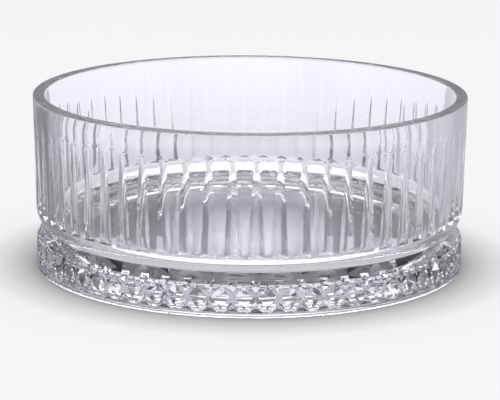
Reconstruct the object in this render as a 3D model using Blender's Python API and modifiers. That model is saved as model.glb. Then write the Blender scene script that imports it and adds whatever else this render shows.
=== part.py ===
"""Pressed-glass bowl with a fluted wall, a pinched waist and a diamond-lattice foot.

The bowl is one pressing, modelled as six turned sections stacked on the Z axis:
rim, fluted wall, waist, floor, diamond foot and standing ring.
Units are metres, +Z is up, and the origin is the middle of the face it stands on.
"""

import math

import bmesh
import bpy
from mathutils import Matrix, Vector

# Overall sizes
RIM_RADIUS = 0.0600
HEIGHT = 0.0480
WALL_DRAFT = 0.0006  # radius that the outer wall loses between lip and bulge
FLUTE_COUNT = 62  # flutes on the wall, and rib crossings on the foot below them

# Section heights, from the bottom up
STAND_HEIGHT = 0.0011
FOOT_HEIGHT = 0.0089
FLOOR_THICKNESS = 0.0020
WAIST_HEIGHT = 0.0050
RIM_HEIGHT = 0.0050

# Glass thicknesses and inner shape
LIP_THICKNESS = 0.0033
WALL_FOOT_THICKNESS = 0.0038
FILLET_RADIUS = 0.0045
FLOOR_CLEARANCE = 0.0003  # between the floor disc and the waist around it
STAND_WIDTH = 0.0135  # standing ring, around the shallow hollow under the foot

# Waist groove
WAIST_DEPTH = 0.0026
BULGE_RISE = 0.0020  # start of the round bulge above the wall's underside
CREASE_RISE = 0.0013  # bottom of the groove above the top of the foot
SHOULDER_DROP = 0.0017  # start of the foot's sloping shoulder below its top

# Flutes
PANEL_WIDTH = 0.00176  # plain strip left between two flutes at their widest
FLUTE_DEPTH = 0.0010
FLUTE_FLAT_WIDTH = 0.0008  # narrow flat bottom of a flute at its widest
FLUTE_FOOT_RISE = 0.0006  # lower end of a flute above the wall's underside
FLUTE_TIP_DROP = 0.0022  # pointed tip of a flute below the rim section
FLUTE_END_RISE = 0.0009  # height of the sloping facet that closes a flute
FLUTE_SECTIONS = 6

# Foot lattice
RIB_WIDTH = 0.0010
DIAMOND_DEPTH = 0.0012
LATTICE_FOLLOW = 0.5  # share of the shoulder's lean that the recesses follow
LATTICE_BOTTOM_MARGIN = 0.00025
LATTICE_TOP_MARGIN = 0.0004

# Cutters stand this far out of the glass, and turned arcs have this many steps
CUTTER_STANDOFF = 0.0008
FLUTE_TIP_CLEARANCE = 0.00004
ARC_STEPS = 4
SHARP_ANGLE = math.radians(20)

# Worked-out sizes
SEGMENTS = 2 * FLUTE_COUNT
PITCH_ANGLE = 2 * math.pi / FLUTE_COUNT
FOOT_START = PITCH_ANGLE / 8  # keeps the lattice's corners off the edges of the turned foot
FRONT_ANGLE = -math.pi / 2
LIP_RADIUS = LIP_THICKNESS / 2
LIP_LEVEL = HEIGHT - LIP_RADIUS
RIM_LEVEL = HEIGHT - RIM_HEIGHT
FOOT_LEVEL = STAND_HEIGHT + FOOT_HEIGHT
FLOOR_LEVEL = FOOT_LEVEL + FLOOR_THICKNESS
WALL_LEVEL = FOOT_LEVEL + WAIST_HEIGHT
BULGE_LEVEL = WALL_LEVEL + BULGE_RISE
CREASE_LEVEL = FOOT_LEVEL + CREASE_RISE
SHOULDER_LEVEL = FOOT_LEVEL - SHOULDER_DROP
FILLET_LEVEL = FLOOR_LEVEL + FILLET_RADIUS
BODY_RADIUS = RIM_RADIUS - WALL_DRAFT
CREASE_RADIUS = BODY_RADIUS - WAIST_DEPTH
BULGE_DROP = BULGE_LEVEL - CREASE_LEVEL
BULGE_BEND = (BULGE_DROP**2 + WAIST_DEPTH**2) / (2 * WAIST_DEPTH)
INNER_FOOT_RADIUS = BODY_RADIUS - WALL_FOOT_THICKNESS
FLOOR_EDGE_RADIUS = INNER_FOOT_RADIUS - FILLET_RADIUS
RECESS_RADIUS = BODY_RADIUS - STAND_WIDTH
PITCH = PITCH_ANGLE * BODY_RADIUS


def between(value, low, high, at_low, at_high):
    """Straight-line reading of a size between two levels."""
    return at_low + (at_high - at_low) * (value - low) / (high - low)


def outer_radius(z):
    """Outer side: upright foot, sloping shoulder, round bulge, leaning wall."""
    if z >= BULGE_LEVEL:
        return between(z, BULGE_LEVEL, LIP_LEVEL, BODY_RADIUS, RIM_RADIUS)
    if z >= CREASE_LEVEL:
        return BODY_RADIUS - BULGE_BEND + math.sqrt(BULGE_BEND**2 - (BULGE_LEVEL - z) ** 2)
    if z >= SHOULDER_LEVEL:
        return between(z, SHOULDER_LEVEL, CREASE_LEVEL, BODY_RADIUS, CREASE_RADIUS)
    return BODY_RADIUS


def inner_radius(z):
    """Inner face of the wall, above the fillet."""
    return between(z, FILLET_LEVEL, LIP_LEVEL, INNER_FOOT_RADIUS, RIM_RADIUS - LIP_THICKNESS)


def arc(centre_r, centre_z, radius, start, end, steps=ARC_STEPS):
    """Points (r, z) of a round stretch; angles in degrees from +r towards +z."""
    turns = [math.radians(start + (end - start) * i / steps) for i in range(steps + 1)]
    return [(centre_r + radius * math.cos(t), centre_z + radius * math.sin(t)) for t in turns]


def clear_scene():
    for obj in list(bpy.data.objects):
        bpy.data.objects.remove(obj, do_unlink=True)


def new_collection(name):
    collection = bpy.data.collections.new(name)
    bpy.context.scene.collection.children.link(collection)
    return collection


def glass(name, colour, roughness):
    """Clear pressed glass with its own slight tint."""
    material = bpy.data.materials.new(name)
    material.use_nodes = True
    shader = material.node_tree.nodes["Principled BSDF"]
    shader.inputs["Base Color"].default_value = (*colour, 1.0)
    shader.inputs["Roughness"].default_value = roughness
    shader.inputs["Metallic"].default_value = 0.0
    shader.inputs["IOR"].default_value = 1.52
    shader.inputs["Transmission Weight"].default_value = 1.0
    return material


def turned(name, profile, closed, collection, start=0.0):
    """A half section (r, z), listed down its outer side, turned once about Z from a start angle."""
    points = [(r * math.cos(start), r * math.sin(start), z) for r, z in profile]
    edges = [(i, i + 1) for i in range(len(points) - 1)]
    if closed:
        edges.append((len(points) - 1, 0))
    mesh = bpy.data.meshes.new(name)
    mesh.from_pydata(points, edges, [])
    obj = bpy.data.objects.new(name, mesh)
    collection.objects.link(obj)
    screw = obj.modifiers.new("turn", "SCREW")
    screw.axis = "Z"
    screw.angle = 2 * math.pi
    screw.steps = SEGMENTS
    screw.render_steps = SEGMENTS
    screw.use_merge_vertices = True
    screw.merge_threshold = 0.00001
    return obj


def cutter(name, bodies, collection):
    """Closed bodies, each (points, faces), gathered into one hidden cutting object."""
    mesh = bpy.data.meshes.new(name)
    shape = bmesh.new()
    for points, faces in bodies:
        verts = [shape.verts.new(point) for point in points]
        for face in faces:
            shape.faces.new([verts[i] for i in face])
    bmesh.ops.recalc_face_normals(shape, faces=shape.faces)
    shape.to_mesh(mesh)
    shape.free()
    obj = bpy.data.objects.new(name, mesh)
    obj.hide_render = True
    obj.display_type = "WIRE"
    collection.objects.link(obj)
    return obj


def cut(obj, tool):
    boolean = obj.modifiers.new("cut", "BOOLEAN")
    boolean.operation = "DIFFERENCE"
    boolean.solver = "EXACT"
    boolean.object = tool


def finish(obj, material):
    """Turns the modifiers into a plain mesh, shades it and gives it its glass."""
    graph = bpy.context.evaluated_depsgraph_get()
    mesh = bpy.data.meshes.new_from_object(obj.evaluated_get(graph))
    obj.modifiers.clear()
    obj.data = mesh
    mesh.name = obj.name
    mesh.shade_smooth()
    mesh.set_sharp_from_angle(angle=SHARP_ANGLE)
    mesh.materials.clear()
    mesh.materials.append(material)


def rim_profile():
    lip = arc(RIM_RADIUS - LIP_RADIUS, LIP_LEVEL, LIP_RADIUS, 180, 0, 2 * ARC_STEPS)
    foot = [(outer_radius(RIM_LEVEL), RIM_LEVEL), (inner_radius(RIM_LEVEL), RIM_LEVEL)]
    return lip + foot


def fillet_angle(z):
    """Angle on the fillet, from +r towards +z, where it crosses a level."""
    return math.degrees(math.asin(max(min((z - FILLET_LEVEL) / FILLET_RADIUS, 0.0), -1.0)))


def inside(low, high):
    """Inside face from one level up to another: the fillet, then the leaning wall."""
    if low < FILLET_LEVEL:
        start, end = fillet_angle(low), fillet_angle(high)
        points = arc(FLOOR_EDGE_RADIUS, FILLET_LEVEL, FILLET_RADIUS, start, end)
    else:
        points = [(inner_radius(low), low)]
    if high > FILLET_LEVEL:
        points.append((inner_radius(high), high))
    return points


def bulge(high, low, steps):
    """Round stretch of the outer side from one level down to another."""
    start = math.degrees(math.asin((high - BULGE_LEVEL) / BULGE_BEND))
    end = math.degrees(math.asin((low - BULGE_LEVEL) / BULGE_BEND))
    return arc(BODY_RADIUS - BULGE_BEND, BULGE_LEVEL, BULGE_BEND, start, end, steps)


def wall_profile():
    outside = [(outer_radius(RIM_LEVEL), RIM_LEVEL)] + bulge(BULGE_LEVEL, WALL_LEVEL, ARC_STEPS // 2)
    return outside + inside(WALL_LEVEL, RIM_LEVEL)


def waist_profile():
    """Rest of the bulge, part of the shoulder, flat bottom, upright bore and fillet."""
    groove = bulge(WALL_LEVEL, CREASE_LEVEL, ARC_STEPS)
    bottom = [(outer_radius(FOOT_LEVEL), FOOT_LEVEL), (FLOOR_EDGE_RADIUS, FOOT_LEVEL)]
    return groove + bottom + inside(FLOOR_LEVEL, WALL_LEVEL)


def floor_profile():
    edge = FLOOR_EDGE_RADIUS - FLOOR_CLEARANCE
    return [(0.0, FLOOR_LEVEL), (edge, FLOOR_LEVEL), (edge, FOOT_LEVEL), (0.0, FOOT_LEVEL)]


def foot_profile():
    top = [(0.0, FOOT_LEVEL), (outer_radius(FOOT_LEVEL), FOOT_LEVEL)]
    side = [(BODY_RADIUS, SHOULDER_LEVEL), (BODY_RADIUS, STAND_HEIGHT)]
    return top + side + [(0.0, STAND_HEIGHT)]


def ring_profile():
    """Flat ring whose outer lower edge is rounded by its whole height."""
    edge = arc(BODY_RADIUS - STAND_HEIGHT, STAND_HEIGHT, STAND_HEIGHT, 0, -90)
    return edge + [(RECESS_RADIUS, 0.0), (RECESS_RADIUS, STAND_HEIGHT)]


def flute_body(turn):
    """One tapering trough cutter: its widths and depth shrink to a point at the tip.

    With u from 0 at the foot to 1 at the tip, width and depth follow 1 - u, and the height
    follows 1 - (1 - u)^2, so the flute's outline on the wall is a parabola.
    """
    foot = WALL_LEVEL + FLUTE_FOOT_RISE
    tip = RIM_LEVEL - FLUTE_TIP_DROP
    slope = 2 * FLUTE_DEPTH / (PITCH - PANEL_WIDTH - FLUTE_FLAT_WIDTH)
    points = []
    for i in range(FLUTE_SECTIONS):
        u = i / (FLUTE_SECTIONS - 1)
        z = foot + (tip - foot) * (1 - (1 - u) ** 2)
        radius = outer_radius(z)
        depth = (FLUTE_DEPTH + FLUTE_TIP_CLEARANCE) * (1 - u) - FLUTE_TIP_CLEARANCE
        flat = FLUTE_FLAT_WIDTH / 2 * (1 - u) + FLUTE_TIP_CLEARANCE
        wide = flat + (depth + CUTTER_STANDOFF) / slope
        rise = FLUTE_END_RISE * (1 - u)
        low = rise * CUTTER_STANDOFF / FLUTE_DEPTH
        points.append((radius - depth, -flat, z + rise))
        points.append((radius - depth, flat, z + rise))
        points.append((radius + CUTTER_STANDOFF, wide, z - low))
        points.append((radius + CUTTER_STANDOFF, -wide, z - low))
    faces = [(0, 1, 2, 3), (-4, -3, -2, -1)]
    for i in range(0, len(points) - 4, 4):
        for a, b in ((0, 1), (1, 2), (2, 3), (3, 0)):
            faces.append((i + a, i + b, i + b + 4, i + a + 4))
    return [turn @ Vector(p) for p in points], faces


def flute_bodies():
    turns = [Matrix.Rotation(FRONT_ANGLE + k * PITCH_ANGLE, 3, "Z") for k in range(FLUTE_COUNT)]
    return [flute_body(turn) for turn in turns]


def on_foot(s, z):
    """Point of the lattice's own face at arc length s from the front.

    It leans back less than the shoulder, so the recesses get narrower towards the top.
    """
    angle = FRONT_ANGLE + s / BODY_RADIUS
    radius = BODY_RADIUS - LATTICE_FOLLOW * (BODY_RADIUS - outer_radius(z))
    return Vector((radius * math.cos(angle), radius * math.sin(angle), z))


def punch(corners, slope):
    """Pointed punch over a patch of the foot: every facet sinks at the same slope.

    The corners are (s, z). The point lies under the middle of the patch's inscribed circle.
    Above the patch the punch widens by a quarter of a rib, then rises straight out of the glass.
    """
    spots = [on_foot(s, z) for s, z in corners]
    count = len(spots)
    sides = [(spots[(i + 1) % count] - spots[i - 1]).length for i in range(count)]
    middle = sum((side * spot for side, spot in zip(sides, spots)), Vector()) / sum(sides)
    first = spots[1] - spots[0]
    reach = first.cross(middle - spots[0]).length / first.length
    outward = Vector((middle.x, middle.y, 0.0)).normalized()
    point = middle - outward * slope * reach
    spread = 1 + RIB_WIDTH / (4 * reach)
    lifted = [point + (spot - point) * spread for spot in spots]
    raised = [corner + outward * CUTTER_STANDOFF for corner in lifted]
    points = lifted + raised + [point, middle + 2 * outward * CUTTER_STANDOFF]
    faces = []
    for i in range(count):
        j = (i + 1) % count
        faces.append((i, j, 2 * count))
        faces.append((i, j, count + j, count + i))
        faces.append((count + j, count + i, 2 * count + 1))
    return points, faces


def lattice_bodies():
    """Diamond and triangle recesses, which leave crossed ribs between them."""
    bottom = STAND_HEIGHT + LATTICE_BOTTOM_MARGIN
    top = FOOT_LEVEL - LATTICE_TOP_MARGIN
    middle = (bottom + top) / 2
    half_height = (top - bottom) / 2
    lean = math.atan2(PITCH / 2, half_height)
    upright = RIB_WIDTH / 2 / math.sin(lean)
    across = RIB_WIDTH / 2 / math.cos(lean)
    half_width = PITCH / 2 - across
    tall = half_height - upright
    slope = DIAMOND_DEPTH * math.hypot(half_width, tall) / (half_width * tall)
    bodies = []
    for k in range(FLUTE_COUNT):
        s = k * PITCH
        d = s + PITCH / 2
        left, right = d - half_width, d + half_width
        diamond = [(right, middle), (d, middle + tall), (left, middle), (d, middle - tall)]
        above = [(s, middle + upright), (s + half_width, top), (s - half_width, top)]
        below = [(s, middle - upright), (s - half_width, bottom), (s + half_width, bottom)]
        bodies += [punch(corners, slope) for corners in (diamond, above, below)]
    return bodies


def main():
    clear_scene()
    bowl = new_collection("fluted_bowl")
    tools = new_collection("cutters")

    rim = turned("rim", rim_profile(), True, bowl)
    wall = turned("fluted_wall", wall_profile(), True, bowl)
    waist = turned("waist", waist_profile(), True, bowl)
    floor = turned("floor", floor_profile(), False, bowl)
    foot = turned("diamond_foot", foot_profile(), False, bowl, FOOT_START)
    ring = turned("standing_ring", ring_profile(), True, bowl)

    cut(wall, cutter("flute_cutter", flute_bodies(), tools))
    cut(foot, cutter("lattice_cutter", lattice_bodies(), tools))

    finish(rim, glass("rim_glass", (0.93, 0.94, 0.97), 0.02))
    finish(wall, glass("wall_glass", (0.92, 0.93, 0.97), 0.03))
    finish(waist, glass("waist_glass", (0.91, 0.93, 0.96), 0.03))
    finish(floor, glass("floor_glass", (0.90, 0.92, 0.96), 0.03))
    finish(foot, glass("foot_glass", (0.88, 0.91, 0.95), 0.03))
    finish(ring, glass("ring_glass", (0.88, 0.91, 0.95), 0.08))


main()
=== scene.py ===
# %% [markdown]
# # A pressed-glass bowl
# The real bowl is one pressing of clear glass: a thick wall with tapering flutes, a pinched waist and a
# heavy foot whose side carries a lattice of crossed ribs and sunken diamonds. Glass shows its far side
# through its near side, so the sections of the frame can't be dressed one by one: every face inside the
# glass would show as a line. The frame gives the levels and radii, and one closed skin replaces them all.

# %% Load the frame
import math

import bpy
import numpy as np
from mathutils import Matrix, Vector


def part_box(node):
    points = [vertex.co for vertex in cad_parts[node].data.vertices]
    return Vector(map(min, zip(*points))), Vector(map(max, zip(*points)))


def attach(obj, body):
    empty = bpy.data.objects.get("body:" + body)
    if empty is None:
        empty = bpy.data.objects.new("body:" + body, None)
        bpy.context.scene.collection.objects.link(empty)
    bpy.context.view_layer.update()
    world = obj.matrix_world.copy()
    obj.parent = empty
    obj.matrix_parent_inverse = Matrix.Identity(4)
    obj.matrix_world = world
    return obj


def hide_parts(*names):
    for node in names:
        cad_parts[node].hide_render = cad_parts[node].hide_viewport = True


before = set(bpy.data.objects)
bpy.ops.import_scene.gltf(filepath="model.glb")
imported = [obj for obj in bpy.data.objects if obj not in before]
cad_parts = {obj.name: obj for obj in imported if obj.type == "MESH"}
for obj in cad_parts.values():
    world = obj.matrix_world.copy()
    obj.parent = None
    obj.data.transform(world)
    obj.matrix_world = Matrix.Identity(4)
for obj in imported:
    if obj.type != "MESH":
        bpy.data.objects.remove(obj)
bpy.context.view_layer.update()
print("frame sections:", sorted(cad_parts))

# %% [markdown]
# ## Levels and radii
# The boxes of the frame's sections already hold the main sizes, so the skin takes them from there and
# follows the frame if it is packed again. Only the fine shape of the glass is written here, in millimetres.

# %% Sizes read from the frame
MM = 0.001
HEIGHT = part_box("rim")[1].z
RIM_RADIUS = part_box("rim")[1].x
RIM_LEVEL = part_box("rim")[0].z
WALL_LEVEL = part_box("fluted_wall")[0].z
FOOT_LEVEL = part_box("waist")[0].z
FLOOR_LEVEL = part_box("floor")[1].z
STAND_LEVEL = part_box("standing_ring")[1].z
BODY_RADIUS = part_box("diamond_foot")[1].x
print(f"bowl {2000 * RIM_RADIUS:.1f} mm across and {1000 * HEIGHT:.1f} mm high")

# %% Sizes of the fine shape
LIP_THICKNESS = 3.3 * MM
LIP_RADIUS = LIP_THICKNESS / 2
LIP_RISE = 0.7 * MM
LIP_SQUARENESS = 3.0
LIP_LEVEL = HEIGHT - LIP_RISE
WALL_FOOT_THICKNESS = 3.8 * MM
FILLET_RADIUS = 4.5 * MM
FILLET_LEVEL = FLOOR_LEVEL + FILLET_RADIUS
INNER_FOOT_RADIUS = BODY_RADIUS - WALL_FOOT_THICKNESS
FLOOR_EDGE_RADIUS = INNER_FOOT_RADIUS - FILLET_RADIUS
STAND_WIDTH = 13.5 * MM
RECESS_RADIUS = BODY_RADIUS - STAND_WIDTH
FLUTE_COUNT = 62
PITCH = 2 * math.pi * BODY_RADIUS / FLUTE_COUNT
FRONT_ANGLE = -math.pi / 2
print(f"{FLUTE_COUNT} flutes, {1000 * PITCH:.2f} mm apart")

# %% [markdown]
# ## The turned outline
# Without its flutes and diamonds the bowl is a turned shape. The outer side is one function of the height:
# a straight leaning wall, a round shoulder that sinks into the crease of the waist, and a sloping shoulder
# that swings over a soft knee into the upright foot.

# %% Outer side as a function of height
WAIST_DEPTH = 2.6 * MM
BULGE_LEVEL = WALL_LEVEL + 2.0 * MM
CREASE_LEVEL = FOOT_LEVEL + 1.3 * MM
KNEE_LEVEL = FOOT_LEVEL - 1.7 * MM
KNEE_SOFTNESS = 0.6 * MM


def outer_radius(z):
    """Radius of the outer side at height z.

    Wall: a straight line from the body radius up to the lip.
    Bulge: a circle that is upright at the foot of the wall and ends in the crease.
    Foot: half of (x + sqrt(x^2 + softness^2)) taken off, a straight slope with a rounded knee.
    """
    wall = BODY_RADIUS + (RIM_RADIUS - BODY_RADIUS) * (z - BULGE_LEVEL) / (LIP_LEVEL - BULGE_LEVEL)
    drop = BULGE_LEVEL - CREASE_LEVEL
    bend = (drop**2 + WAIST_DEPTH**2) / (2 * WAIST_DEPTH)
    under = np.clip(BULGE_LEVEL - z, 0.0, drop)
    bulge = BODY_RADIUS - bend + np.sqrt(bend**2 - under**2)

    def knee(height):
        x = height - KNEE_LEVEL
        return (x + np.sqrt(x**2 + KNEE_SOFTNESS**2)) / 2

    foot = BODY_RADIUS - WAIST_DEPTH * knee(z) / knee(CREASE_LEVEL)
    return np.where(z >= BULGE_LEVEL, wall, np.where(z >= CREASE_LEVEL, bulge, foot))


print(f"crease {1000 * outer_radius(np.array(CREASE_LEVEL)):.2f} mm from the axis")

# %% [markdown]
# ## Flutes and lattice as depth maps
# The flutes and the diamonds are pressed into that outline. Both repeat once per pitch and are mirrored
# about the middle of the pitch, so half a pitch describes everything. Each row of the skin gets eleven
# columns per half pitch. They slide sideways from row to row so that they always lie on the creases of the
# glass, which keeps the edges sharp with few faces.

# %% Columns of half a pitch
HALF_COLUMNS = 10
LEAST_STEP = 0.012 * MM
HALF_PITCH = PITCH / 2
THIRDS = np.array([1 / 3, 2 / 3, 1.0])
QUARTERS = np.array([0.25, 0.5, 0.75, 1.0])


def spread(columns):
    """Keeps the columns of each row in order, a least step apart, and ends them at half a pitch."""
    steps = LEAST_STEP * np.arange(HALF_COLUMNS + 1)
    ordered = np.maximum.accumulate(columns, axis=1) + steps
    return ordered * HALF_PITCH / ordered[:, -1:]


def even_columns(z):
    """Columns at equal distances, for plain glass."""
    return np.tile(np.linspace(0.0, HALF_PITCH, HALF_COLUMNS + 1), (len(z), 1))


print(f"half a pitch is {1000 * HALF_PITCH:.2f} mm in {HALF_COLUMNS} steps")


# %% Flutes
PANEL_WIDTH = 1.76 * MM
FLUTE_SLOPE = 0.55
FLUTE_FLAT = 0.4 * MM
FLUTE_ROUNDING = 0.25 * MM
FLUTE_FOOT = WALL_LEVEL + 0.6 * MM
FLUTE_TIP = RIM_LEVEL - 2.2 * MM
FLUTE_END_SLOPE = 1.1
FLUTE_SHARES = np.array([0.0, 0.1, 0.17, 0.24, 0.32, 0.45, 0.7, 1.0])
LEAST_LEVEL = 1e-9


def flute_half_width(z):
    """Half the width of a flute: a parabola that is full at the foot and zero at the tip."""
    left = np.clip((FLUTE_TIP - z) / (FLUTE_TIP - FLUTE_FOOT), 0.0, 1.0)
    return (PITCH - PANEL_WIDTH) / 2 * np.sqrt(left)


def flute_side(s):
    """Distance up the side of a flute: zero on its flat bottom, then rising, with a rounded change."""
    x = s - FLUTE_FLAT
    return (x + np.hypot(x, FLUTE_ROUNDING)) / 2


def flute_depth(s, z):
    """Depth of the flute at distance s from its middle.

    Slope times (side(w) - side(s)): a trough with a narrow bottom that is zero at the edge w.
    At the foot a flat facet closes it: depth can't be more than the height above the foot times a slope.
    """
    trough = flute_side(flute_half_width(z)) - flute_side(s)
    closing = np.maximum(z - FLUTE_FOOT, 0.0) * FLUTE_END_SLOPE
    return np.clip(np.minimum(FLUTE_SLOPE * trough, closing), 0.0, None)


def flute_columns(z):
    """Eight columns from the middle of the flute to its edge, then three on the panel beside it.

    Near the foot the first four go from the middle to the line where the closing facet meets the trough.
    """
    width = flute_half_width(z)[:, None]
    closing = np.maximum(z - FLUTE_FOOT, 0.0)[:, None] * FLUTE_END_SLOPE / FLUTE_SLOPE
    level = np.maximum(flute_side(width) - closing, LEAST_LEVEL)
    meet = np.clip(level - FLUTE_ROUNDING**2 / (4 * level) + FLUTE_FLAT, 0.0, None)
    usual = width * FLUTE_SHARES
    to_meet = np.hstack([0 * meet, meet * THIRDS])
    past_meet = meet + (width - meet) * QUARTERS
    in_flute = np.where(meet > 0, np.hstack([to_meet, past_meet]), usual)
    panel = width + (HALF_PITCH - width) * THIRDS
    return spread(np.hstack([in_flute, panel]))


print(f"flutes {1000 * (PITCH - PANEL_WIDTH):.2f} by {1000 * (FLUTE_TIP - FLUTE_FOOT):.1f} mm")

# %% Lattice of the foot
RIB_WIDTH = 1.0 * MM
DIAMOND_DEPTH = 1.2 * MM
LATTICE_FOLLOW = 0.5
CAP_STEEPNESS = 2.0
LATTICE_BOTTOM = STAND_LEVEL + 0.25 * MM
LATTICE_TOP = FOOT_LEVEL - 0.4 * MM
LATTICE_MIDDLE = (LATTICE_BOTTOM + LATTICE_TOP) / 2
LATTICE_HALF = (LATTICE_TOP - LATTICE_BOTTOM) / 2
LEAN = math.atan2(HALF_PITCH, LATTICE_HALF)
RIB_UPRIGHT = RIB_WIDTH / 2 / math.sin(LEAN)
RIB_ACROSS = RIB_WIDTH / 2 / math.cos(LEAN)
DIAMOND_HALF_WIDTH = HALF_PITCH - RIB_ACROSS
DIAMOND_HALF_HEIGHT = LATTICE_HALF - RIB_UPRIGHT
FACET_SLOPE = DIAMOND_DEPTH * math.hypot(DIAMOND_HALF_WIDTH, DIAMOND_HALF_HEIGHT)
FACET_SLOPE /= DIAMOND_HALF_WIDTH * DIAMOND_HALF_HEIGHT


def shortfall(z):
    """Distance lost on the facets where the shoulder leans back and they follow it only in part."""
    return (1 - LATTICE_FOLLOW) * (BODY_RADIUS - outer_radius(z)) / FACET_SLOPE


def rib_edges(z):
    """Distances from the crossing at which a rib starts and ends, at height z."""
    centre = np.abs(z - LATTICE_MIDDLE) * HALF_PITCH / LATTICE_HALF
    half = RIB_ACROSS + shortfall(z) / math.cos(LEAN)
    return np.clip(centre - half, 0.0, None), np.clip(centre + half, None, HALF_PITCH)


def to_cap(z):
    """Distance to the facet that closes a triangle: the upper one is steeper than the lower one."""
    steepness = np.where(z > LATTICE_MIDDLE, CAP_STEEPNESS, 1.0)
    return steepness * (LATTICE_HALF - np.abs(z - LATTICE_MIDDLE)) - shortfall(z)


def lattice_depth(s, z):
    """Depth of the sunken triangles and diamonds: facet slope times the distance to the nearest rib."""
    near, far = rib_edges(z)
    triangle = np.minimum((near - s) * math.cos(LEAN), to_cap(z))
    diamond = (s - far) * math.cos(LEAN)
    slope = (np.abs(z - LATTICE_MIDDLE) < LATTICE_HALF) * FACET_SLOPE
    return slope * np.clip(np.maximum(triangle, diamond), 0.0, None)


def lattice_columns(z):
    """Four columns from the middle of a triangle to its edge, three over a rib and four over a diamond."""
    near, far = (edge[:, None] for edge in rib_edges(z))
    fold = np.clip(near - to_cap(z)[:, None] / math.cos(LEAN), near / 3, near)
    triangle = np.hstack([0 * near, fold, (fold + near) / 2, near])
    rib = near + (far - near) * THIRDS
    diamond = far + (HALF_PITCH - far) * QUARTERS
    return spread(np.hstack([triangle, rib, diamond]))


print(f"rib lean {math.degrees(LEAN):.1f} degrees, facet slope {math.degrees(math.atan(FACET_SLOPE)):.1f}")

# %% [markdown]
# ## The patterned side of the skin
# Rows run from under the rim down to the standing ring. Each row knows its height, its columns and its
# depths. Between the flutes and the lattice the columns change over gradually on the plain waist.

# %% Rows of the patterned side
STITCH_GAP = 0.6 * MM
END_HEIGHT = 1.2 * MM
END_CLEARANCE = 0.12 * MM
TIP_ROWS = 18
END_ROWS = 8
BULGE_ROWS = 10
SHOULDER_ROWS = 3
LATTICE_ROWS = 17
shrink = np.arange(1, TIP_ROWS + 1) / TIP_ROWS
tip_rows = FLUTE_TIP - (FLUTE_TIP - FLUTE_FOOT) * shrink**2
tip_rows = tip_rows[tip_rows > FLUTE_FOOT + END_HEIGHT + END_CLEARANCE]
end_rows = FLUTE_FOOT + END_HEIGHT * np.linspace(1.0, 0.0, END_ROWS)
bulge_rows = np.linspace(FLUTE_FOOT, CREASE_LEVEL, BULGE_ROWS + 1)[1:]
shoulder_rows = np.linspace(CREASE_LEVEL, LATTICE_TOP, SHOULDER_ROWS + 2)[1:-1]
lattice_levels = np.sort(np.concatenate([
    np.linspace(LATTICE_TOP, LATTICE_BOTTOM, LATTICE_ROWS),
    LATTICE_MIDDLE + np.array([-1, 1]) * RIB_UPRIGHT,
    LATTICE_MIDDLE + np.array([-1, 1]) * DIAMOND_HALF_HEIGHT,
]))[::-1]
top_rows = np.array([FLUTE_TIP + 2 * STITCH_GAP, FLUTE_TIP + STITCH_GAP])
foot_rows = np.array([STAND_LEVEL])
row_heights = np.concatenate([
    top_rows, tip_rows, end_rows, bulge_rows, shoulder_rows, lattice_levels, foot_rows,
])
print(len(row_heights), "rows on the patterned side")


# %% Columns and depths of every row
def change_over(z):
    """Share of the lattice's columns on the waist: 0 at the flutes, 1 at the lattice."""
    return np.clip((FLUTE_FOOT - z) / (FLUTE_FOOT - LATTICE_TOP), 0.0, 1.0)[:, None]


at_flute = flute_columns(np.maximum(row_heights, FLUTE_FOOT))
at_lattice = lattice_columns(np.clip(row_heights, LATTICE_BOTTOM, LATTICE_TOP))
share = change_over(row_heights)
half_columns = at_flute * (1 - share) + at_lattice * share
plain = (row_heights > FLUTE_TIP) | (row_heights <= STAND_LEVEL)
half_columns[plain] = even_columns(row_heights[plain])
heights = row_heights[:, None]
half_depths = np.where(
    heights >= FLUTE_FOOT,
    flute_depth(half_columns, heights),
    lattice_depth(half_columns, heights),
)
print(f"deepest flute and diamond {1000 * half_depths.max():.2f} mm")


# %% Points of the patterned side
def ring_points(radius, angle, z):
    """Points on circles: radius, angle and height of the same shape give x, y and z."""
    return np.stack([radius * np.cos(angle), radius * np.sin(angle), z], axis=-1)


mirror = np.arange(2 * HALF_COLUMNS) - HALF_COLUMNS
arc_lengths = np.sign(mirror) * half_columns[:, np.abs(mirror)]
depths = half_depths[:, np.abs(mirror)]
cells = np.arange(FLUTE_COUNT) * PITCH
side_angles = FRONT_ANGLE + (cells[None, :, None] + arc_lengths[:, None, :]) / BODY_RADIUS
side_radii = np.broadcast_to((outer_radius(heights) - depths)[:, None, :], side_angles.shape)
side_heights = np.broadcast_to(heights[:, :, None], side_angles.shape)
side = ring_points(side_radii, side_angles, side_heights)
side = side.reshape(len(row_heights), -1, 3)
print("patterned side:", side.shape[0], "rows of", side.shape[1], "points")

# %% [markdown]
# ## The plain turned faces
# The inside of the bowl, the lip and the underside have no pattern. They are outlines turned about the
# axis, with fewer columns: four per pitch instead of twenty.

# %% Turning an outline
COARSE_COLUMNS = 4


def arc(centre_r, centre_z, radius, start, end, steps):
    """Round stretch of an outline: angles in degrees from the radial direction towards up."""
    turn = np.radians(np.linspace(start, end, steps + 1))
    return np.stack([centre_r + radius * np.cos(turn), centre_z + radius * np.sin(turn)], axis=-1)


def turned(outline):
    """An outline of (radius, height) points carried once round the axis."""
    columns = FLUTE_COUNT * COARSE_COLUMNS
    angle = FRONT_ANGLE - HALF_PITCH / BODY_RADIUS + 2 * math.pi * np.arange(columns) / columns
    radius, turn = np.broadcast_arrays(outline[:, :1], angle[None, :])
    return ring_points(radius, turn, np.broadcast_to(outline[:, 1:], radius.shape))


print(FLUTE_COUNT * COARSE_COLUMNS, "columns on the plain faces")

# %% Inside and lip
DISC_SHARES = np.linspace(0.15, 0.97, 4)
FILLET_STEPS = 14
WALL_STEPS = 7
LIP_STEPS = 24
BAND_DROP = 3.0 * MM


def level_disc(shares, radius, level):
    """Outline of a flat disc: points at shares of its radius, all at one level."""
    return np.stack([shares * radius, np.full(len(shares), level)], axis=-1)


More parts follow.
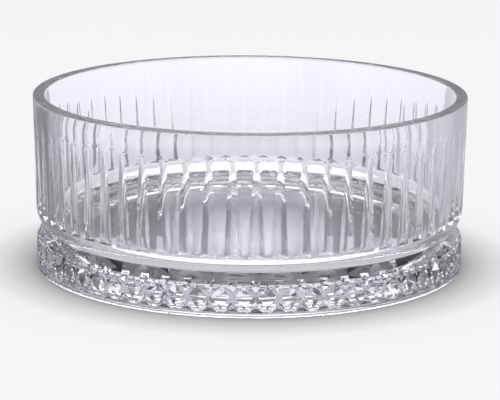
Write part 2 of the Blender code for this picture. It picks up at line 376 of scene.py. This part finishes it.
def lip_outline(steps):
    """Squared round of the lip from inside to outside.

    Cosine and sine of half a turn, each raised to 2 / squareness with its sign kept, stretched to the lip.
    """
    turn = np.linspace(math.pi, 0.0, steps + 1)
    across = np.sign(np.cos(turn)) * np.abs(np.cos(turn)) ** (2 / LIP_SQUARENESS)
    up = np.abs(np.sin(turn)) ** (2 / LIP_SQUARENESS)
    return np.stack([RIM_RADIUS - LIP_RADIUS + LIP_RADIUS * across, LIP_LEVEL + LIP_RISE * up], axis=-1)


floor_outline = level_disc(DISC_SHARES, FLOOR_EDGE_RADIUS, FLOOR_LEVEL)
fillet_outline = arc(FLOOR_EDGE_RADIUS, FILLET_LEVEL, FILLET_RADIUS, -90, 0, FILLET_STEPS)
wall_foot = np.array([INNER_FOOT_RADIUS, FILLET_LEVEL])
wall_top = np.array([RIM_RADIUS - LIP_THICKNESS, LIP_LEVEL])
wall_outline = wall_foot + (wall_top - wall_foot) * np.linspace(0.0, 1.0, WALL_STEPS + 1)[1:-1, None]
band_levels = np.array([HEIGHT - BAND_DROP, RIM_LEVEL, FLUTE_TIP + 3 * STITCH_GAP])
band_outline = np.stack([outer_radius(band_levels), band_levels], axis=-1)
inside_outline = [floor_outline, fillet_outline, wall_outline, lip_outline(LIP_STEPS), band_outline]
inside = turned(np.concatenate(inside_outline))
print("inside and lip:", inside.shape[0], "rows")

# %% Underside
EDGE_RADIUS = STAND_LEVEL
EDGE_START = -8
EDGE_STEPS = 8
RECESS_EDGE = 0.4 * MM
RECESS_STEPS = 4
stand_edge = arc(BODY_RADIUS - EDGE_RADIUS, EDGE_RADIUS, EDGE_RADIUS, EDGE_START, -90, EDGE_STEPS)
ring_edge = arc(RECESS_RADIUS + RECESS_EDGE, RECESS_EDGE, RECESS_EDGE, -90, -180, RECESS_STEPS)
recess_edge = arc(RECESS_RADIUS - RECESS_EDGE, STAND_LEVEL - RECESS_EDGE, RECESS_EDGE, 0, 90, RECESS_STEPS)
hollow_outline = level_disc(DISC_SHARES[::-1], RECESS_RADIUS, STAND_LEVEL)
underside = turned(np.concatenate([stand_edge, ring_edge, recess_edge, hollow_outline]))
print("underside:", underside.shape[0], "rows")

# %% [markdown]
# ## One closed skin
# The three grids become one mesh. Neighbouring rows are joined by four-sided faces, the change between
# coarse and fine rows by one wider face per coarse column, and the two middles by fans of triangles.
# Rows go from the middle of the inside over the lip to the middle of the underside, which makes every face
# point out of the glass.


# %% Faces between the rows
def grid_faces(first, rows, columns):
    """Four-sided faces between neighbouring rows of a grid that closes on itself."""
    row, column = np.meshgrid(np.arange(rows - 1), np.arange(columns), indexing="ij")
    beside = (column + 1) % columns
    corners = [row * columns + column, (row + 1) * columns + column,
               (row + 1) * columns + beside, row * columns + beside]
    return (first + np.stack(corners, axis=-1)).reshape(-1, 4)


def stitch_faces(coarse_first, coarse, fine_first, fine, fine_below):
    """Faces between a coarse row and a fine row: one coarse step meets several fine ones."""
    ratio = fine // coarse
    step = np.arange(coarse)[:, None]
    coarse_edge = coarse_first + np.hstack([step, (step + 1) % coarse])
    fine_edge = fine_first + (step * ratio + np.arange(ratio + 1)) % fine
    if fine_below:
        return np.hstack([coarse_edge[:, :1], fine_edge, coarse_edge[:, 1:]])
    return np.hstack([coarse_edge, fine_edge[:, ::-1]])


def fan_faces(middle, first, columns, upwards):
    """Triangles between a middle point and the row around it."""
    step = np.arange(columns)
    beside = (step + 1) % columns
    pair = [first + step, first + beside] if upwards else [first + beside, first + step]
    return np.stack([np.full(columns, middle)] + pair, axis=-1)


print("faces of a plain row:", len(grid_faces(0, 2, FLUTE_COUNT * COARSE_COLUMNS)))

# %% Put the skin together
SHARP_ANGLE = math.radians(16)
middles = np.array([[0.0, 0.0, FLOOR_LEVEL], [0.0, 0.0, STAND_LEVEL]])
coarse = FLUTE_COUNT * COARSE_COLUMNS
fine = side.shape[1]
side_first = len(inside) * coarse
under_first = side_first + side.shape[0] * fine
middle_first = under_first + len(underside) * coarse
points = np.concatenate([inside.reshape(-1, 3), side.reshape(-1, 3), underside.reshape(-1, 3), middles])
faces = (
    grid_faces(0, len(inside), coarse).tolist()
    + grid_faces(side_first, side.shape[0], fine).tolist()
    + grid_faces(under_first, len(underside), coarse).tolist()
    + stitch_faces(side_first - coarse, coarse, side_first, fine, True).tolist()
    + stitch_faces(under_first, coarse, under_first - fine, fine, False).tolist()
    + fan_faces(middle_first, 0, coarse, True).tolist()
    + fan_faces(middle_first + 1, middle_first - coarse, coarse, False).tolist()
)
skin = bpy.data.meshes.new("bowl_glass")
skin.from_pydata(points, [], faces)
skin.shade_smooth()
skin.set_sharp_from_angle(angle=SHARP_ANGLE)
bowl = bpy.data.objects.new("bowl_glass", skin)
bpy.context.scene.collection.objects.link(bowl)
triangles = sum(len(face) - 2 for face in faces)
print("glass skin:", len(points), "points,", triangles, "triangles, sound:", not skin.validate())

# %% [markdown]
# ## Helpers for materials
# Most materials here change a number with a place or a direction. A few small helpers set up the nodes that
# do this, so that each material reads as a recipe. A value that is the same all over stays on the shader's
# own socket.


# %% Node helpers
def ramp(tree, value, limits, results):
    """Straight change: between two limits of the value, the result goes from the first to the second."""
    node = tree.nodes.new("ShaderNodeMapRange")
    node.inputs["From Min"].default_value, node.inputs["From Max"].default_value = limits
    node.inputs["To Min"].default_value, node.inputs["To Max"].default_value = results
    tree.links.new(value, node.inputs["Value"])
    return node.outputs["Result"]


def reckon(tree, operation, value, other):
    """Result of one Math node on a value and either another value or a plain number."""
    node = tree.nodes.new("ShaderNodeMath")
    node.operation = operation
    tree.links.new(value, node.inputs[0])
    if isinstance(other, float):
        node.inputs[1].default_value = other
    else:
        tree.links.new(other, node.inputs[1])
    return node.outputs["Value"]


def coordinate(tree, place, axis):
    """One coordinate, X, Y or Z, of a place."""
    axes = tree.nodes.new("ShaderNodeSeparateXYZ")
    tree.links.new(place, axes.inputs["Vector"])
    return axes.outputs[axis]


def axis_distance(tree, place):
    """Distance from the bowl's axis: the length of the place with its height multiplied by zero."""
    flat = tree.nodes.new("ShaderNodeVectorMath")
    flat.operation = "MULTIPLY"
    flat.inputs[1].default_value = (1.0, 1.0, 0.0)
    length = tree.nodes.new("ShaderNodeVectorMath")
    length.operation = "LENGTH"
    tree.links.new(place, flat.inputs[0])
    tree.links.new(flat.outputs["Vector"], length.inputs[0])
    return length.outputs["Value"]


def mixed(tree, share, first, second):
    """Two shaders mixed: a share of 0 gives the first and a share of 1 the second."""
    mix = tree.nodes.new("ShaderNodeMixShader")
    tree.links.new(share, mix.inputs["Fac"])
    tree.links.new(first, mix.inputs[1])
    tree.links.new(second, mix.inputs[2])
    return mix.outputs["Shader"]


print("node helpers ready")

# %% [markdown]
# ## Glass
# Clear pressed glass has a faint cool tint, and long ways through it are darker, as in the foot. Its faces
# are never quite flat: the mould leaves a slow waviness, and use leaves faint dull patches. The tint is on
# the shader's own socket, Volume Absorption darkens the long ways, and noise on Object coordinates gives the
# waviness as bump and the dull patches as roughness.
#
# Real glass also gathers the light that falls through it. Tracing that is slow and noisy, so shadow rays go
# straight through by a share: most where they meet the glass squarely, less at a slant, where real glass
# bends them away, and least in the thick foot.

# %% Faces of the glass
PATCH_SCALE = 90.0
PATCH_DETAIL = 3.0
PATCH_LIMITS = (0.35, 0.75)
PATCH_ROUGHNESS = (0.0, 0.03)
WAVE_SCALE = 60.0
WAVE_DETAIL = 1.0
WAVE_STRENGTH = 0.03
WAVE_HEIGHT = 1.0 * MM


def noise(tree, place, scale, detail):
    """Soft random pattern: scale is about the number of spots per metre."""
    node = tree.nodes.new("ShaderNodeTexNoise")
    node.inputs["Scale"].default_value = scale
    node.inputs["Detail"].default_value = detail
    tree.links.new(place, node.inputs["Vector"])
    return node.outputs["Fac"]


def finish_faces(tree, shader, place):
    """Dull patches as roughness and mould waves as bump, each from its own noise."""
    patches = noise(tree, place, PATCH_SCALE, PATCH_DETAIL)
    tree.links.new(ramp(tree, patches, PATCH_LIMITS, PATCH_ROUGHNESS), shader.inputs["Roughness"])
    bump = tree.nodes.new("ShaderNodeBump")
    bump.inputs["Strength"].default_value = WAVE_STRENGTH
    bump.inputs["Distance"].default_value = WAVE_HEIGHT
    tree.links.new(noise(tree, place, WAVE_SCALE, WAVE_DETAIL), bump.inputs["Height"])
    tree.links.new(bump.outputs["Normal"], shader.inputs["Normal"])


print(f"dull patches up to roughness {PATCH_ROUGHNESS[1]}")

# %% Light through the glass
SQUARE_SHARE = 0.9
SLANT_SHARE = 0.35
SLANT_LIMITS = (0.16, 0.24)
FOOT_SHARE = 0.15
FLOOR_FADE = (FLOOR_EDGE_RADIUS, FLOOR_EDGE_RADIUS + 2 * MM)
FOOT_INWARDS = (BODY_RADIUS - 5 * MM, BODY_RADIUS - 2 * MM)
FOOT_UPWARDS = (FOOT_LEVEL - 1 * MM, FOOT_LEVEL + 1 * MM)


def light_share(tree, place):
    """Share of the light that passes one face of the glass.

    The larger of the slant's share and the inner floor's, times the larger of two ramps that both have to
    be low for a place in the foot: one over the distance from the axis and one over the height.
    """
    slant = tree.nodes.new("ShaderNodeLayerWeight").outputs["Facing"]
    radius = axis_distance(tree, place)
    by_slant = ramp(tree, slant, SLANT_LIMITS, (SQUARE_SHARE, SLANT_SHARE))
    on_floor = ramp(tree, radius, FLOOR_FADE, (SQUARE_SHARE, 0.0))
    inwards = ramp(tree, radius, FOOT_INWARDS, (1.0, FOOT_SHARE))
    upwards = ramp(tree, coordinate(tree, place, "Z"), FOOT_UPWARDS, (FOOT_SHARE, 1.0))
    clear = reckon(tree, "MAXIMUM", by_slant, on_floor)
    return reckon(tree, "MULTIPLY", clear, reckon(tree, "MAXIMUM", inwards, upwards))


print(f"light through a face: {SQUARE_SHARE} squarely, {SLANT_SHARE} at a slant")

# %% Glass material
GLASS_TINT = (0.975, 0.977, 0.99, 1.0)
GLASS_IOR = 1.52
DEPTH_TINT = (0.0, 0.02, 0.1, 1.0)
DEPTH_DENSITY = 3.0


def pressed_glass(name):
    """Clear glass that bends and darkens the view; shadow rays see a see-through face instead."""
    material = bpy.data.materials.new(name)
    material.use_nodes = True
    tree = material.node_tree
    shader, output = tree.nodes["Principled BSDF"], tree.nodes["Material Output"]
    shader.inputs["Base Color"].default_value = GLASS_TINT
    shader.inputs["IOR"].default_value = GLASS_IOR
    shader.inputs["Transmission Weight"].default_value = 1.0
    depth = tree.nodes.new("ShaderNodeVolumeAbsorption")
    depth.inputs["Color"].default_value = DEPTH_TINT
    depth.inputs["Density"].default_value = DEPTH_DENSITY
    place = tree.nodes.new("ShaderNodeTexCoord").outputs["Object"]
    finish_faces(tree, shader, place)
    passing = tree.nodes.new("ShaderNodeBsdfTransparent")
    tree.links.new(light_share(tree, place), passing.inputs["Color"])
    shadow = tree.nodes.new("ShaderNodeLightPath").outputs["Is Shadow Ray"]
    surface = mixed(tree, shadow, shader.outputs["BSDF"], passing.outputs["BSDF"])
    tree.links.new(surface, output.inputs["Surface"])
    tree.links.new(depth.outputs["Volume"], output.inputs["Volume"])
    return material


skin.materials.append(pressed_glass("pressed_glass"))
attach(bowl, "root")
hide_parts("rim", "fluted_wall", "waist", "floor", "diamond_foot", "standing_ring")
print("glass:", skin.materials[0].name)

# %% [markdown]
# ## Floor
# The bowl stands on a plain pale sweep. A single sheet would do, but the paper right under the bowl is lit
# through the glass and the paper around it is not, so they are two pieces with their own lamps: a round mat
# as wide as the foot, and a wide ring around it.

# %% Paper
FLOOR_DROP = 0.05 * MM
FLOOR_REACH = 4.0
MAT_RADIUS = BODY_RADIUS - 0.3 * MM
RING_STEPS = 96
PALE = (0.92, 0.92, 0.925)
EVEN_SHARE = 0.65
SHADED_RING = (BODY_RADIUS - 1.2 * MM, BODY_RADIUS + 17 * MM)
# Painted light and shade on the mat: lighter in front, darker at the back.
MAT_LIT_FRONT = (0.9, 0.9, 0.98)
MAT_SHADED_BACK = (0.28, 0.28, 0.31)
MAT_CHANGE = (-10 * MM, 30 * MM)


def matte(name, colour):
    """Matte paper or card."""
    material = bpy.data.materials.new(name)
    material.use_nodes = True
    shader = material.node_tree.nodes["Principled BSDF"]
    shader.inputs["Base Color"].default_value = (*colour, 1.0)
    shader.inputs["Roughness"].default_value = 0.9
    shader.inputs["Specular IOR Level"].default_value = 0.0
    return material


def pale_paper(name):
    """Pale paper: the camera sees a large share of an even tone, and the real shading for the rest.

    The even tone sinks beside the foot as a painted shadow: it is the square root of the way across the
    shaded ring.
    """
    material = matte(name, PALE)
    tree = material.node_tree
    place = tree.nodes.new("ShaderNodeTexCoord").outputs["Object"]
    across = ramp(tree, axis_distance(tree, place), SHADED_RING, (0.0, 1.0))
    even = tree.nodes.new("ShaderNodeEmission")
    even.inputs["Color"].default_value = (*PALE, 1.0)
    # Painted shadow: the even tone sinks towards the foot.
    tree.links.new(reckon(tree, "POWER", across, 0.5), even.inputs["Strength"])
    camera_ray = tree.nodes.new("ShaderNodeLightPath").outputs["Is Camera Ray"]
    share = reckon(tree, "MULTIPLY", camera_ray, EVEN_SHARE)
    shaded = tree.nodes["Principled BSDF"].outputs["BSDF"]
    surface = mixed(tree, share, shaded, even.outputs["Emission"])
    tree.links.new(surface, tree.nodes["Material Output"].inputs["Surface"])
    return material


def mat_painted_light_and_shade(name):
    """Paper under the bowl, painted light in front, changing in a straight line to painted shade at the
    back.
    """
    material = matte(name, MAT_LIT_FRONT)
    tree = material.node_tree
    place = tree.nodes.new("ShaderNodeTexCoord").outputs["Object"]
    tones = tree.nodes.new("ShaderNodeValToRGB")
    front, back = tones.color_ramp.elements
    front.color = (*MAT_LIT_FRONT, 1.0)
    back.color = (*MAT_SHADED_BACK, 1.0)
    tree.links.new(ramp(tree, coordinate(tree, place, "Y"), MAT_CHANGE, (0.0, 1.0)), tones.inputs["Fac"])
    tree.links.new(tones.outputs["Color"], tree.nodes["Principled BSDF"].inputs["Base Color"])
    return material


print("paper tone:", PALE)


# %% Floor and mat
def sheet(name, outline, faces, material):
    """Flat stage piece just under the bowl: outline points (x, y) and its faces."""
    mesh = bpy.data.meshes.new(name)
    mesh.from_pydata([(x, y, -FLOOR_DROP) for x, y in outline], [], faces)
    mesh.materials.append(material)
    piece = bpy.data.objects.new(name, mesh)
    bpy.context.scene.collection.objects.link(piece)
    return piece


def circle(radius):
    """Points of a circle: radius times cosine and sine of equal steps."""
    turn = 2 * math.pi * np.arange(RING_STEPS) / RING_STEPS
    return np.stack([radius * np.cos(turn), radius * np.sin(turn)], axis=-1).tolist()


step = np.arange(RING_STEPS)
beside = (step + 1) % RING_STEPS
around = np.stack([step, RING_STEPS + step, RING_STEPS + beside, beside], axis=-1).tolist()
floor_edges = circle(MAT_RADIUS) + circle(FLOOR_REACH)
studio_floor = sheet("studio_floor", floor_edges, around, pale_paper("pale_paper"))
studio_mat = sheet("studio_mat", circle(MAT_RADIUS), [step.tolist()], mat_painted_light_and_shade("mat_painted_light_and_shade"))
print("floor:", studio_floor.name, studio_mat.name)

# %% [markdown]
# ## Cards
# Glass has no colour of its own: what it shows is the room. A glass photographer stands cards around it,
# dark ones for the dark lines and bright ones for the highlights. These cards are seen by the glass alone,
# and they glow by themselves: painted light and painted shade. Some of them show only to rays that have met
# the glass several times, so that they light the inside of the pressing and not its first face, and some
# only to rays that meet the card at a slant, so that their painted light changes with the slant of the ray.


# %% Card helpers
def even_tone(name, colour):
    """Finish with the same tone all over, whatever light falls on it."""
    material = bpy.data.materials.new(name)
    material.use_nodes = True
    nodes, links = material.node_tree.nodes, material.node_tree.links
    light = nodes.new("ShaderNodeEmission")
    light.inputs["Color"].default_value = (*colour, 1.0)
    links.new(light.outputs["Emission"], nodes["Material Output"].inputs["Surface"])
    return material


def glass_only(piece):
    """Puts a stage piece where only the glass sees it: it neither shades the floor nor shows itself."""
    piece.visible_camera = False
    piece.visible_diffuse = False
    piece.visible_shadow = False
    bpy.context.scene.collection.objects.link(piece)
    return piece


def card(name, corners, colour):
    """Plain card with four corners that only shows in the glass."""
    mesh = bpy.data.meshes.new(name)
    mesh.from_pydata(corners, [], [(0, 1, 2, 3)])
    mesh.materials.append(even_tone(name, colour))
    return glass_only(bpy.data.objects.new(name, mesh))


def deep_rays(tree, bounces):
    """1 for rays that have met the glass more often than the given number of times, and else 0."""
    depth = tree.nodes.new("ShaderNodeLightPath").outputs["Ray Depth"]
    return reckon(tree, "GREATER_THAN", depth, bounces)


def by_slant(tree, limits, results):
    """Ramp over the slant at which a ray meets the card: 0 is square on and 1 is grazing."""
    return ramp(tree, tree.nodes.new("ShaderNodeLayerWeight").outputs["Facing"], limits, results)


def show_to(tree, share):
    """Shows a card to a share of the rays; the rest pass through it."""
    gap = tree.nodes.new("ShaderNodeBsdfTransparent").outputs["BSDF"]
    surface = mixed(tree, share, gap, tree.nodes["Emission"].outputs["Emission"])
    tree.links.new(surface, tree.nodes["Material Output"].inputs["Surface"])


print("card helpers ready")

# %% Side cards
SIDE_AWAY = 0.080
SIDE_HEIGHT = 0.04
SIDE_FRONT = -0.10
SIDE_BACK = 0.12
SIDE_SLANT = (0.15, 0.30)
LEFT_TONE = 0.25
RIGHT_TONE = 0.5
SIDE_BLUE = 1.1
# Painted shade: dark glowing cards that show in the glass only to rays meeting them at a slant.
side_panels = (("left_card", -SIDE_AWAY, LEFT_TONE), ("right_card", SIDE_AWAY, RIGHT_TONE))
for name, x, tone in side_panels:
    low = [(x, SIDE_FRONT, 0.0), (x, SIDE_BACK, 0.0)]
    high = [(x, SIDE_BACK, SIDE_HEIGHT), (x, SIDE_FRONT, SIDE_HEIGHT)]
    side_card = card(name, low + high, (tone, tone, SIDE_BLUE * tone))
    side_tree = side_card.active_material.node_tree
    show_to(side_tree, by_slant(side_tree, SIDE_SLANT, (0.0, 1.0)))
    print(side_card.name, "tone", tone)

# %% Top and back cards
INSIDE_BOUNCES = 2.5
SECOND_BOUNCES = 1.5
TOP_LEVEL = 0.40
TOP_SIDE = 0.80
TOP_FRONT = -0.80
TOP_BACK = 0.08
TOP_GLOW = 9.0
BACK_AWAY = 0.5
BACK_SIDE = 0.35
BACK_LEVELS = (0.20, 0.42)
BACK_GLOW = (2.6, 2.6, 2.7)
HORIZON_LEVELS = (0.030, 0.072)
HORIZON_GLOW = (1.3, 1.3, 1.36)
# Painted highlight: the top card glows far brighter than white, for reflections inside the pressing only.
top_corners = [(-TOP_SIDE, TOP_FRONT, TOP_LEVEL), (-TOP_SIDE, TOP_BACK, TOP_LEVEL),
               (TOP_SIDE, TOP_BACK, TOP_LEVEL), (TOP_SIDE, TOP_FRONT, TOP_LEVEL)]
top_card = card("top_card", top_corners, (TOP_GLOW, TOP_GLOW, TOP_GLOW))
top_card.visible_transmission = False
top_tree = top_card.active_material.node_tree
show_to(top_tree, deep_rays(top_tree, INSIDE_BOUNCES))
# Painted light: the back and horizon cards glow brighter than white, for rays that have met the glass twice.
back_panels = (("back_card", BACK_LEVELS, BACK_GLOW), ("horizon_card", HORIZON_LEVELS, HORIZON_GLOW))
for name, (low, high), glow in back_panels:
    back_corners = [(-BACK_SIDE, BACK_AWAY, low), (BACK_SIDE, BACK_AWAY, low),
                    (BACK_SIDE, BACK_AWAY, high), (-BACK_SIDE, BACK_AWAY, high)]
    back_tree = card(name, back_corners, glow).active_material.node_tree
    show_to(back_tree, deep_rays(back_tree, SECOND_BOUNCES))
    print(name, "from", low, "to", high, "m")

# %% [markdown]
# ## Shading of the floor in the glass
# Through the glass one sees the floor right beside the foot, which lies in the bowl's own shadow, and the
# bright floor farther off. The tone could come from lamps alone, but light that gathers and fades through
# glass is costly to trace, so cards lying on the floor carry it as painted shadow and painted light in a
# colour attribute, darker at the sides. Curves over the distance from the axis give it, one each for the
# back, the sides and the front.

# %% Tone of the floor
TONE_RADII = np.array([59.1, 63, 65, 70, 90, 100, 132, 146, 152, 165, 180, 300, 600]) * MM
TONE_BACK = np.array([0.22, 0.24, 0.50, 0.75, 0.80, 0.82, 0.74, 0.84, 0.95, 1.05, 0.90, 1.02, 1.08])
TONE_SIDE = np.array([0.24, 0.25, 0.25, 0.28, 0.42, 0.52, 0.72, 0.77, 0.78, 0.80, 0.82, 0.90, 0.95])
TONE_FRONT = np.array([0.28, 0.40, 0.45, 0.58, 0.80, 0.85, 0.90, 0.90, 0.90, 0.90, 0.90, 0.90, 0.90])
TONE_REACH = np.array([59.1, 180, 300]) * MM
TONE_POWER = np.array([4.0, 6.0, 2.0])
COOL = np.array([0.98, 0.98, 1.04])


def floor_tone(radius, turn):
    """Painted shadow and painted light of the floor seen in the glass: three curves over the radius, mixed
    by direction.

    A power of the angle's sine is the share of back or front, and the rest is that of the sides.
    """
    tones = (TONE_BACK, TONE_SIDE, TONE_FRONT)
    back, side, front = (np.interp(radius, TONE_RADII, tone) for tone in tones)
    ends = np.where(np.sin(turn) > 0, back, front)
    share = np.abs(np.sin(turn)) ** np.interp(radius, TONE_REACH, TONE_POWER)
    return side * (1 - share) + ends * share


def tone_card(name, radius, turn, tone, closed):
    """Card lying on the floor, on a grid of radii and turns, whose tone changes from point to point."""
    faces = grid_faces(0, *radius.shape).reshape(len(radius) - 1, -1, 4)[..., ::-1]
    faces = faces if closed else faces[:, :-1]
    mesh = bpy.data.meshes.new(name)
    place = ring_points(radius, turn, np.full(radius.shape, -FLOOR_DROP / 2))
    mesh.from_pydata(place.reshape(-1, 3), [], faces.reshape(-1, 4).tolist())
    colours = np.append(tone[..., None] * COOL, np.ones((*tone.shape, 1)), axis=-1)
    mesh.attributes.new("tone", "FLOAT_COLOR", "POINT").data.foreach_set("color", colours.ravel())
    material = even_tone(name, (1.0, 1.0, 1.0))
    tree = material.node_tree
    stored = tree.nodes.new("ShaderNodeAttribute")
    stored.attribute_name = "tone"
    tree.links.new(stored.outputs["Color"], tree.nodes["Emission"].inputs["Color"])
    mesh.materials.append(material)
    return glass_only(bpy.data.objects.new(name, mesh))


print(f"floor tone from {TONE_BACK.min()} beside the foot to {TONE_BACK.max()} far behind")

# %% Card around the foot
NEAR_RINGS = np.linspace(59.1, 75, 9)
MIDDLE_RINGS = np.linspace(80, 200, 13)
FAR_RINGS = np.linspace(250, 600, 8)
floor_rings = np.concatenate([NEAR_RINGS, MIDDLE_RINGS, FAR_RINGS]) * MM
all_round = 2 * math.pi * np.arange(RING_STEPS) / RING_STEPS
rings, turns = np.meshgrid(floor_rings, all_round, indexing="ij")
floor_card = tone_card("floor_shade_card", rings, turns, floor_tone(rings, turns), True)
print(floor_card.name, "with", rings.size, "points")

# %% Sizes of the cards on the mat
DARK_RINGS = np.linspace(1, 35, 5) * MM
GLOW_RINGS = np.linspace(35, 46, 6) * MM
EDGE_RINGS = np.linspace(46, 58.8, 6) * MM
GLOW_RADII = np.array([35, 39, 43, 46]) * MM
GLOW_TONES = np.array([0.40, 0.80, 1.0, 0.7])
GLOW_REACH = math.radians(75)
GLOW_COLUMNS = 49
GLOW_SLANT = (0.40, 0.52)
GLOW_STEEP = 0.15
EDGE_TONE = 0.62
DARK_TONE = 0.12
DARK_SLANT = (0.40, 0.60)
print(f"bright ring on the mat up to {GLOW_TONES.max()}")

# %% Cards on the mat
# Painted light and shade on the mat: the glow and edge cards are painted light, the dark card painted shade.
glow_turn = FRONT_ANGLE + np.linspace(-GLOW_REACH, GLOW_REACH, GLOW_COLUMNS)
rings, turns = np.meshgrid(GLOW_RINGS, glow_turn, indexing="ij")
glow_card = tone_card("mat_glow_card", rings, turns, np.interp(rings, GLOW_RADII, GLOW_TONES), False)
rings, turns = np.meshgrid(EDGE_RINGS, glow_turn, indexing="ij")
edge_card = tone_card("mat_edge_card", rings, turns, np.full(rings.shape, EDGE_TONE), False)
rings, turns = np.meshgrid(DARK_RINGS, all_round, indexing="ij")
dark_card = tone_card("mat_dark_card", rings, turns, np.full(rings.shape, DARK_TONE), True)
mat_cards = (glow_card, edge_card, dark_card)
glow_tree, edge_tree, dark_tree = (piece.active_material.node_tree for piece in mat_cards)
# Painted light that dims where a ray meets the glow card steeply.
glow_by_slant = by_slant(glow_tree, GLOW_SLANT, (GLOW_STEEP, 1.0))
glow_tree.links.new(glow_by_slant, glow_tree.nodes["Emission"].inputs["Strength"])
show_to(glow_tree, deep_rays(glow_tree, INSIDE_BOUNCES))
show_to(edge_tree, deep_rays(edge_tree, INSIDE_BOUNCES))
# Painted shade that shows only where a ray meets the dark card steeply.
steep = by_slant(dark_tree, DARK_SLANT, (1.0, 0.0))
show_to(dark_tree, reckon(dark_tree, "MULTIPLY", deep_rays(dark_tree, INSIDE_BOUNCES), steep))
print("cards on the mat:", glow_card.name, edge_card.name, dark_card.name)

# %% [markdown]
# ## Room
# The room is a plain cool grey, a little lighter behind the bowl than in front of it, which gives the glass
# its quiet middle tones. Where the floor ends, the camera sees the paper's own tone instead.

# %% Room
ROOM_COLOUR = (0.93, 0.93, 1.0)
ROOM_CHANGE = (-0.5, 0.6)
ROOM_STRENGTH = (0.2, 0.35)
world = bpy.data.worlds.new("studio")
bpy.context.scene.world = world
world.use_nodes = True
room_tree = world.node_tree
room = room_tree.nodes["Background"]
room.inputs["Color"].default_value = (*ROOM_COLOUR, 1.0)
direction = room_tree.nodes.new("ShaderNodeTexCoord").outputs["Generated"]
strength = ramp(room_tree, coordinate(room_tree, direction, "Y"), ROOM_CHANGE, ROOM_STRENGTH)
room_tree.links.new(strength, room.inputs["Strength"])
backdrop = room_tree.nodes.new("ShaderNodeBackground")
backdrop.inputs["Color"].default_value = (*PALE, 1.0)
camera_ray = room_tree.nodes.new("ShaderNodeLightPath").outputs["Is Camera Ray"]
seen = mixed(room_tree, camera_ray, room.outputs["Background"], backdrop.outputs["Background"])
room_tree.links.new(seen, room_tree.nodes["World Output"].inputs["Surface"])
print("room:", world.name)

# %% [markdown]
# ## Lamps
# Three lamps, each with one thing to light. A small key lamp over the camera shines through the front wall
# onto the mat, where the flutes leave their stripes. A wide soft lamp lights the floor evenly, and a soft
# box overhead gives the glass a quiet sheen. Light linking keeps them apart, so each is set by itself.

# %% Lamps
KEY_SIZE = 0.04
KEY_DISTANCE = 0.6
KEY_RISE = math.radians(30)
KEY_TURN = 0.03
KEY_RADIANCE = 4400.0
FLOOR_LAMP_SIZE = 2.6
FLOOR_LAMP_PLACE = (0.0, -0.2, 2.2)
FLOOR_LAMP_RADIANCE = 2.6
TOP_BOX_SIZE = 1.1
TOP_BOX_PLACE = (0.0, 0.0, 0.9)
TOP_BOX_RADIANCE = 1.3


def in_front(distance, turn, height):
    """Place in front of the bowl: the distance from the axis times sine and cosine of a small turn."""
    return (-distance * math.sin(turn), -distance * math.cos(turn), height)


def square_lamp(name, size, place, radiance, lit_piece):
    """Square lamp aimed at the bowl that lights one piece: watts are radiance times pi times area."""
    light = bpy.data.lights.new(name, "AREA")
    light.shape = "RECTANGLE"
    light.size = size
    light.size_y = size
    light.energy = radiance * math.pi * size**2
    lamp = bpy.data.objects.new(name, light)
    lamp.location = place
    lamp.rotation_euler = (-Vector(place)).to_track_quat("-Z", "Y").to_euler()
    bpy.context.scene.collection.objects.link(lamp)
    lit = bpy.data.collections.new(f"lit_by_{name}")
    lit.objects.link(lit_piece)
    lamp.light_linking.receiver_collection = lit
    print(name, "lights", lit_piece.name)


key_place = in_front(KEY_DISTANCE, KEY_TURN, KEY_DISTANCE * math.tan(KEY_RISE))
square_lamp("key_lamp", KEY_SIZE, key_place, KEY_RADIANCE, studio_mat)
square_lamp("floor_lamp", FLOOR_LAMP_SIZE, FLOOR_LAMP_PLACE, FLOOR_LAMP_RADIANCE, studio_floor)
square_lamp("top_box", TOP_BOX_SIZE, TOP_BOX_PLACE, TOP_BOX_RADIANCE, bowl)

# %% [markdown]
# ## Camera
# A long lens from a little above the rim, as in a catalogue picture. Its place was fitted to the ellipses of
# the rim and the foot, so that the bowl fills the frame as it does in the reference.

# %% Camera
FOCAL = 158.6
SENSOR = 36.0
SHIFT = 0.001
NEAREST = 0.01
CAMERA_DISTANCE = 0.6001
CAMERA_HEIGHT = 0.1592
CAMERA_TURN = 0.0299
PITCH_DOWN = math.radians(13.347)
ROLL = math.radians(0.451)
camera = bpy.data.cameras.new("camera")
camera.lens = FOCAL
camera.sensor_width = SENSOR
camera.sensor_fit = "HORIZONTAL"
camera.shift_x = SHIFT
camera.shift_y = SHIFT
camera.clip_start = NEAREST
eye = bpy.data.objects.new("camera", camera)
eye.location = in_front(CAMERA_DISTANCE, CAMERA_TURN, CAMERA_HEIGHT)
aim = Matrix.Rotation(-CAMERA_TURN, 3, "Z")
aim = aim @ Matrix.Rotation(math.pi / 2 - PITCH_DOWN, 3, "X") @ Matrix.Rotation(ROLL, 3, "Z")
eye.rotation_euler = aim.to_euler()
bpy.context.scene.collection.objects.link(eye)
bpy.context.scene.camera = eye
print(f"camera {1000 * eye.location.length:.0f} mm from the bowl")

# %% [markdown]
# ## Finish
# Light goes through many faces in the foot, so the number of bounces is high. Caustics stay off, because
# the see-through share of the glass stands in for them.

# %% Finish
BOUNCES = 32
bpy.context.scene.view_settings.view_transform = "Standard"
bpy.context.scene.cycles.max_bounces = BOUNCES
bpy.context.scene.cycles.transmission_bounces = BOUNCES
bpy.context.scene.cycles.glossy_bounces = BOUNCES
bpy.context.scene.cycles.caustics_refractive = False
bpy.context.scene.cycles.caustics_reflective = False
